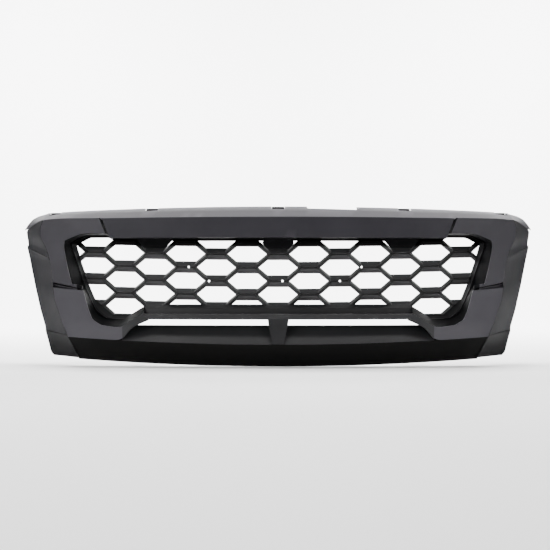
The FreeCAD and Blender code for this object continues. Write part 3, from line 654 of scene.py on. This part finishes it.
def wing_sides():
    """The main wings, each with a soft valley across its upper half."""
    inner = [on_corner(x, z) for x, z in ((518, -111.2), (514.3, -120.5), (504.3, -164))]
    inner += [face(x, z, PROUD) for x, z in ((508, -178.5), (503.3, -206), (493.3, -232), (485.3, -255),
                                             (472.8, -283.9))]
    outer = [Vector(p) for p in ((591.5, 150, -84.3), (586, 149, -108), (573.5, 138, -158),
                                 (569.5, 136.5, -176), (563, 134, -202), (556, 131, -230),
                                 (549, 128, -252), (541, 124, -277.6))]
    rails = across(inner, outer)
    for rail in rails[1:-1]:
        for index, dip in ((1, 2.5), (2, 3.0)):
            rail[index] = rail[index] + Vector((0, dip, 0))
    both_sides("wing_side", strip(rails), WING, bevel=0.5,
               extras=[tongue_behind(rails), boss_sections(-215, 125), boss_sections(-155, 112)])


def wing_lowers():
    """The wings' ends, under the lower seam."""
    inner = [face(472.8, -284.5, PROUD), Vector((463.2, 46, -308)), Vector((456.2, 59.5, -328)),
             Vector((452.6, 66.5, -338))]
    outer = [Vector(p) for p in ((543, 124, -278.4), (534, 119, -306), (528, 116, -328),
                                 (520, 112, -335.5))]
    rails = across(inner, outer)
    both_sides("wing_lower", strip(rails), TIP, bevel=0.9, extras=[tongue_behind(rails)])


def opening_reveals():
    """Dark walls from behind the opening's edge to the insert."""
    set_in = SKIN + 1.2
    upper = [(376, -58.5), (382, -57), (439, -57.7), (467, -68.5), (480, -74.5), (480.5, -86), (479, -98),
             (469.5, -138), (460, -170)]
    lower = [(434, -184.5), (428.5, -206), (420.5, -232), (412.5, -250), (394.5, -260.5), (366, -265),
             (350, -265)]
    front = [on_corner(x, z, PROUD - set_in) for x, z in upper]
    front += [face(x, z, PROUD - set_in) for x, z in lower]
    behind = Vector((0, set_in, 0))
    front += [face(326, -249.5) + behind, sunk(301, -235.5) + behind]
    rear = [(374, -73), (384, -59), (441, -59), (462, -69), (476, -76), (475, -86), (469, -101), (457, -135),
            (445, -170), (439, -186), (427, -210), (418, -227), (410, -238), (394, -247),
            (375, -249.5), (349, -249.5), (325, -233), (301, -219)]
    seats = [Vector((x, INSERT_Y - 0.5 + setback(x), z)) for x, z in rear]
    lips, seats = divided([eased(front), eased(seats)])
    sections = []
    for number, (lip, seat) in enumerate(zip(lips, seats)):
        before = lips[max(number - 1, 0)]
        after = lips[min(number + 1, len(lips) - 1)]
        along = (after - before).normalized()
        away = Vector((-along.z, 0, along.x)) * RETURN_WALL
        sections.append([lip, seat, seat + away, lip + away])
    both_sides("opening_reveal", sections, DARK, bevel=0.5)


# ---------------------------------------------------------------- honeycomb insert

PITCH_X = 139.6
PITCH_Z = 60.9
CELL_HALF_WIDTH = 44.0
CELL_HALF_FLAT = 23.75
CELL_HALF_HEIGHT = 17.0
ROW_TOP_Z = -72.6
LEAN_OF_SIDE = (CELL_HALF_WIDTH - CELL_HALF_FLAT) / CELL_HALF_HEIGHT
WEB_HALF_FLAT = (PITCH_X / 2 - LEAN_OF_SIDE * PITCH_Z / 2) / 2
# how far back the front of a bar lies, from the opening's edge (0) to the bar's groove (1)
BAR_PROFILE = [(0.0, {"top": 3.2, "side": 4.5, "low": 7.5}), (0.42, {"top": 0.9, "side": 2.4, "low": 3.4}),
               (0.47, {"top": 0.0, "side": 2.0, "low": 3.0}), (0.80, {"top": 0.0, "side": 0.0, "low": 0.0}),
               (0.88, {"top": 4.6, "side": 3.0, "low": 4.6}), (1.0, {"top": 5.0, "side": 5.0, "low": 5.0})]
CORNER_KINDS = ("top", "top", "side", "low", "low", "side")


def hexagon(half_width, half_flat, half_height):
    """Corners of a cell, from its upper left, clockwise."""
    return [(-half_flat, half_height), (half_flat, half_height), (half_width, 0),
            (half_flat, -half_height), (-half_flat, -half_height), (-half_width, 0)]


def cell_centres():
    """X and Z of every cell, in rows and in the half-step rows between them."""
    for row in range(-1, 5):
        level = ROW_TOP_Z - row * PITCH_Z
        for column in range(-4, 5):
            yield column * PITCH_X, level
        for column in range(-5, 5):
            yield (column + 0.5) * PITCH_X, level - PITCH_Z / 2


def lattice():
    """All the cells as one closed flat block, with bars that slope to the front and are grooved."""
    opening = hexagon(CELL_HALF_WIDTH, CELL_HALF_FLAT, CELL_HALF_HEIGHT)
    web = hexagon(PITCH_X / 2 - WEB_HALF_FLAT, WEB_HALF_FLAT, PITCH_Z / 2)
    mesh = bmesh.new()
    sides = {}
    for x, z in cell_centres():
        loops = [[(px, INSERT_DEPTH, pz) for px, pz in web], [(px, INSERT_DEPTH, pz) for px, pz in opening]]
        for share, depths in BAR_PROFILE:
            loops.append([(a[0] + share * (b[0] - a[0]), depths[kind], a[1] + share * (b[1] - a[1]))
                          for a, b, kind in zip(opening, web, CORNER_KINDS)])
        rings = [[mesh.verts.new(((x + px) * MM, (INSERT_Y + FRONT + py) * MM, (z + pz) * MM))
                  for px, py, pz in loop] for loop in loops]
        for near, far in zip(rings, rings[1:]):
            for index in range(6):
                after = (index + 1) % 6
                mesh.faces.new((near[index], near[after], far[after], far[index]))
        rear, front = rings[0], rings[-1]
        for index in range(6):
            after = (index + 1) % 6
            middle = (rear[index].co + rear[after].co) / 2
            side = (rear[index], rear[after], front[after], front[index])
            sides.setdefault((round(middle.x / MM), round(middle.z / MM)), []).append(side)
    # a side that only one cell has lies on the block's edge, and needs a wall
    for shared in sides.values():
        if len(shared) == 1:
            mesh.faces.new(shared[0])
    bmesh.ops.remove_doubles(mesh, verts=mesh.verts, dist=0.02 * MM)
    for vert in mesh.verts:
        vert.co.z += ROW_RISE * vert.co.x ** 2 / MM
    bmesh.ops.recalc_face_normals(mesh, faces=mesh.faces)
    return object_from(mesh, "honeycomb_lattice", MESH)


def mirrored_loop(right):
    """Right-hand points, then their mirror images, as one loop."""
    return right + [(-x, z) for x, z in reversed(right)]


def window_rails():
    """The insert's window, the bead around it and the rim's outer edge, matched corner for corner."""
    window = [(374, -73), (386, -65), (431, -65), (463, -81), (462, -86), (453, -117), (434, -172),
              (420, -205), (400, -221), (376, -241), (322, -241), (299, -216.5)]
    bead = [(373, -66), (385, -58), (437, -59), (474, -76), (473, -86), (461, -117), (441.6, -175.4),
            (427, -208), (417, -229), (390, -250), (344, -249.5), (300, -221)]
    rim = [(372, -50), (384, -50), (446, -50), (487, -69), (486, -90), (472, -122), (452, -180),
           (436, -215), (424, -236), (396, -259), (338, -259), (296, -231)]
    rails = []
    for right in (window, bead, rim):
        around = mirrored_loop(right)
        rails.append([Vector((x, 0, z)) for x, z in around + around[:1]])
    return divided([eased(rail, share=0.15) for rail in rails])


def honeycomb_insert():
    """The lattice, cut to the window and to the badge's pins, then bowed; and the rim around it."""
    window, bead, rim = window_rails()
    piece = lattice()
    prism = [[point + Vector((0, INSERT_Y - 20, 0)) for point in window[:-1]],
             [point + Vector((0, INSERT_Y + 40, 0)) for point in window[:-1]]]
    cut(piece, [object_from(mesh_from_sections(prism), "window_prism")], "INTERSECT")
    pin_radius = 2.5
    pins = [(-202.5, -131.7), (-156.3, -163.6), (10.0, -163.6), (139.9, -163.6), (189.1, -131.7)]
    cut(piece, [rod("pin_hole", (x, INSERT_Y - 5, z), pin_radius, 30, sides=16, along="y")
                for x, z in pins])
    for vertex in piece.data.vertices:
        vertex.co.y += setback(vertex.co.x / MM) * MM
    finish_shape(piece, 0.35, segments=2)
    enrol(piece, ["honeycomb_insert"])
    sections = []
    for inside, crest, outside in zip(window[:-1], bead[:-1], rim[:-1]):
        outward = (outside - inside).normalized()
        profile = [(inside, 9.0), (inside, INSERT_DEPTH), (outside, INSERT_DEPTH), (outside, 1.0),
                   (crest + outward * 1.3, 1.0), (crest + outward * 0.8, -0.6), (crest - outward * 0.8, -0.6),
                   (crest - outward * 1.3, 3.0)]
        sections.append([point + Vector((0, INSERT_Y + depth + setback(point.x), 0))
                         for point, depth in profile])
    panel("honeycomb_rim_skin", sections, RIM, [], bevel=0.3, closed=True)


def mesh_tabs():
    """Tabs over the cut-off cells, painted black as painted shade under the upper bar, each narrower at its
    foot; the middle one is narrower on top.
    """
    for number in (-2, 0, 2):
        middle = number * PITCH_X
        top_half = 42 if number else 33
        foot = ROW_TOP_Z - CELL_HALF_HEIGHT + ROW_RISE * middle * middle - 1.5
        sections = []
        for level, half in ((BAR_FOOT_Z - 0.4, top_half), (foot + 12, 35.5), (foot, CELL_HALF_FLAT + 1)):
            front = INSERT_Y - 4 if level > foot else INSERT_Y - 2.5
            corners = [(middle - half, front), (middle, front), (middle + half, front),
                       (middle + half, INSERT_Y - 1), (middle, INSERT_Y - 1), (middle - half, INSERT_Y - 1)]
            sections.append([Vector((x, y + setback(x), level)) for x, y in corners])
        nodes = ["mesh_tabs"] if number == 0 else []
        # painted shade: the tabs take the black finish
        panel(f"mesh_tab_{number + 2}", sections, DARK, nodes, bevel=0.8)


# ---------------------------------------------------------------- lower bar, panel, post and skirt

def lower_bar():
    """Ledge and strip; the strip's ends slant to meet the cheeks."""
    rear = 44.6
    strip_top = LEDGE_Z - 20.3

    def half(z):
        return 303 + 0.88 * min(0.0, z - strip_top)

    profile = [(rear, LEDGE_Z, 0), (34, LEDGE_Z - 8.5, 0), (31, strip_top, 0), (STRIP_Y, strip_top, 0),
               (STRIP_Y, strip_top - 12, 0), (44, strip_top - 14, 0), (44, strip_top - 11, 0),
               (7, strip_top - 9, 0), (7, strip_top - 3, 0), (34, strip_top - 3, 0),
               (37, LEDGE_Z - 10.5, 0), (rear - 3, LEDGE_Z - 4.5, 0), (rear - 3, strip_top + 1, 0),
               (rear, strip_top + 1, 0)]
    panel("lower_bar_skin", bowed_sections(profile, half), STRIP, ["lower_bar"], bevel=0.8)


def lower_panel():
    """Sloping panel under the slot, whose foot rises towards the sides."""
    low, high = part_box("lower_panel")
    top = high.z / MM
    foot = low.z / MM
    profile = [(44, top, 0), (28, top, 0), (9.5, top - 21.5, FOOT_RISE / 2), (-6, foot, FOOT_RISE),
               (-1.5, foot, FOOT_RISE), (13, top - 23, FOOT_RISE / 2), (29.5, top - 3, 0), (44, top - 3, 0)]
    sections = bowed_sections(profile, high.x / MM + 4)
    panel("lower_panel_skin", sections, LOWER, ["lower_panel"], bevel=1.0)


def centre_post():
    """Tapered post between the two slots."""
    levels = [(-247.2, 23.4, 3.4, 27.0), (-263.0, 21.2, 1.0, 27.3), (-302.5, 12.5, -9.0, -6.4)]
    sections = []
    for z, half, front, back in levels:
        sections.append([Vector((x, y, z)) for x, y in
                         ((-half + 1, back), (-half, front), (half, front), (half - 1, back))])
    panel("centre_post_skin", sections, LOWER, ["centre_post"], bevel=1.2)


def lower_skirt():
    """Black underside, whose slanted ends run under the wings' lower tips; its near-black is partly painted
    shade.
    """
    end_rise = 14.8

    def half(z):
        return 472 + 16 / 45 * (z + end_rise + 290)

    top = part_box("lower_panel")[0].z / MM - 0.2
    outline = [(-6, top), (15, -329.5), (35, FOOT_Z), (46, FOOT_Z), (46, FOOT_Z + 3), (37, FOOT_Z + 3),
               (1, top - 2), (4.4, top + 5), (2.4, top + 5), (-1.2, top)]
    sections = bowed_sections([(y, z, FOOT_RISE) for y, z in outline], half)
    panel("lower_skirt_skin", sections, SKIRT, ["lower_skirt"], bevel=1.2)


# ---------------------------------------------------------------- carried-over CAD nodes

def dress_cad_nodes():
    """Better materials for the nodes that stay as they were packed."""
    looks = {"upper_carrier": DARK, "upper_seal": FOAM, "insert_screws": ZINC,
             "lower_carrier": DARK, "side_bracket_left": COATED, "side_bracket_right": COATED,
             "bracket_screws": ZINC}
    for node, material in looks.items():
        piece = frame["nodes"][node]
        piece.data.materials.clear()
        piece.data.materials.append(material)


# ---------------------------------------------------------------- stage, lights and camera

def backdrop():
    """Pale floor that sweeps up behind the grille."""
    material = bpy.data.materials.new("pale_backdrop")
    material.use_nodes = True
    shader = material.node_tree.nodes["Principled BSDF"]
    shader.inputs["Base Color"].default_value = (0.95, 0.95, 0.95, 1)
    shader.inputs["Roughness"].default_value = 0.9
    floor = CAD_BOUNDS[0][2] - 0.001
    radius = 1.0
    line = [(-4.0, floor)]
    for degrees in range(0, 91, 10):
        turn = math.radians(degrees)
        line.append((2.0 + radius * math.sin(turn), floor + radius - radius * math.cos(turn)))
    line.append((3.0, 5.0))
    mesh = bmesh.new()
    rows = [[mesh.verts.new((x, y, z)) for y, z in line] for x in (-6.0, 6.0)]
    for index in range(len(line) - 1):
        mesh.faces.new((rows[0][index], rows[1][index], rows[1][index + 1], rows[0][index + 1]))
    piece = object_from(mesh, "backdrop", material)
    for polygon in piece.data.polygons:
        polygon.use_smooth = True


def area_light(name, place, target, size, power):
    """A rectangular lamp that faces its target."""
    data = bpy.data.lights.new(name, "AREA")
    data.shape = "RECTANGLE"
    data.size, data.size_y = size
    data.energy = power
    lamp = bpy.data.objects.new(name, data)
    lamp.location = place
    lamp.rotation_euler = (Vector(target) - Vector(place)).to_track_quat("-Z", "Y").to_euler()
    bpy.context.scene.collection.objects.link(lamp)


def lights():
    """White studio: an overhead panel, a key, a fill and two lamps on the backdrop."""
    world = bpy.data.worlds.new("studio")
    world.use_nodes = True
    world.node_tree.nodes["Background"].inputs["Color"].default_value = (1, 1, 1, 1)
    world.node_tree.nodes["Background"].inputs["Strength"].default_value = 0.3
    bpy.context.scene.world = world
    area_light("overhead", (0, 0.1, 1.8), (0, 0, -0.1), (2.4, 1.0), 110)
    area_light("key_left", (-1.7, -1.7, 1.3), (0, 0, -0.1), (1.2, 1.2), 50)
    area_light("fill_right", (1.9, -1.6, 1.0), (0, 0, -0.15), (1.2, 1.2), 22)
    for side in (-1, 1):
        area_light(f"backdrop_{side}", (1.6 * side, 1.3, 1.3), (0, 3.2, 0.4), (1.2, 1.2), 230)


def camera():
    """Level view from in front of the grille."""
    data = bpy.data.cameras.new("camera")
    data.sensor_width = 36.0
    data.lens = 65.2
    view = bpy.data.objects.new("camera", data)
    view.location = (-0.007, -2.2 + FRONT * MM, -0.150)
    view.rotation_euler = (math.radians(90), 0, 0)
    bpy.context.scene.collection.objects.link(view)
    bpy.context.scene.camera = view


upper_bar()
top_flange()
clip_pads()
corner_bezels()
groove_beads()
cheek_bezels()
corner_caps()
wing_uppers()
wing_sides()
wing_lowers()
opening_reveals()
honeycomb_insert()
mesh_tabs()
lower_bar()
lower_panel()
centre_post()
lower_skirt()
dress_cad_nodes()
backdrop()
lights()
camera()
